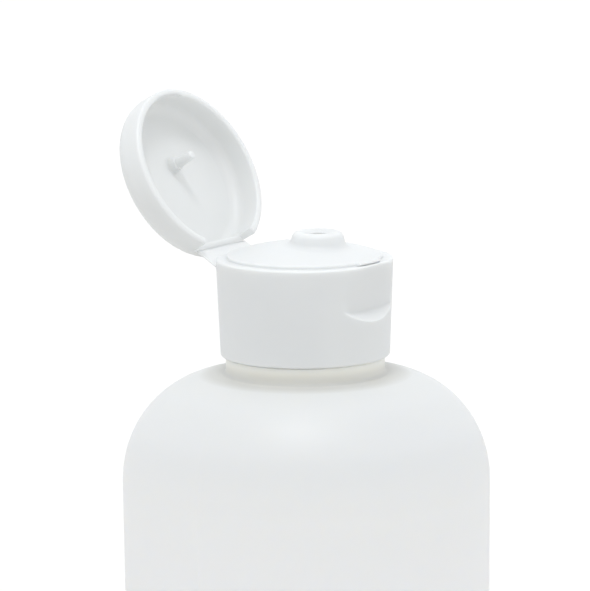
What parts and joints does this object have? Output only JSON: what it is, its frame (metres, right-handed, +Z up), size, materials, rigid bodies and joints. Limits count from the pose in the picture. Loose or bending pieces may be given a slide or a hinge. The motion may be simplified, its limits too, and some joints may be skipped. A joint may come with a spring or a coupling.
{
  "type": "squeeze bottle with flip-top closure",
  "caption": "Round translucent plastic squeeze bottle with a domed shoulder and a screw-on white flip-top closure, its lid open on a strap hinge over a small pouring spout.",
  "frame": {"origin": "on the bottle's axis, on the plane that its standing ring rests on", "axes": "+Z up along the bottle's axis; +X towards the closure's thumb scoop, so the lid's hinge is at -X; +Y completes a right-handed frame"},
  "size_m": [0.0742, 0.0718, 0.2023],
  "materials": {
    "bottle_hdpe": "natural unpigmented HDPE, blow-moulded, milky and translucent with a satin skin",
    "closure_pp": "white polypropylene, injection-moulded, satin",
    "washer_foam": "white polyethylene foam, matt"
  },
  "bodies": {
    "bottle": {"bottle": "bottle_hdpe"},
    "washer": {"sealing_washer": "washer_foam"},
    "cap": {"cap_base": "closure_pp"},
    "strap": {"hinge_strap": "closure_pp"},
    "lid": {"cap_lid": "closure_pp"}
  },
  "joints": [
    {"name": "cap_lift", "type": "slide", "parent": "bottle", "child": "washer", "axis": [0, 0, 1], "range_m": [0, 0.0064]},
    {"name": "cap_turn", "type": "hinge", "parent": "washer", "child": "cap", "pos_m": [0, 0, 0.171], "axis": [0, 0, 1], "range_deg": [0, 540]},
    {"name": "strap_fold", "type": "hinge", "parent": "cap", "child": "strap", "pos_m": [-0.01555, 0, 0.1694], "axis": [0, -1, 0], "range_deg": [-59.2, 29]},
    {"name": "lid_fold", "type": "hinge", "parent": "strap", "child": "lid", "pos_m": [-0.02006, 0, 0.17209], "axis": [0, -1, 0], "range_deg": [-59.2, 29]}
  ],
  "couplings": [
    {"joint": "cap_lift", "follows": "cap_turn", "m_per_rad": 0.00067376},
    {"joint": "lid_fold", "follows": "strap_fold", "ratio": 1}
  ]
}
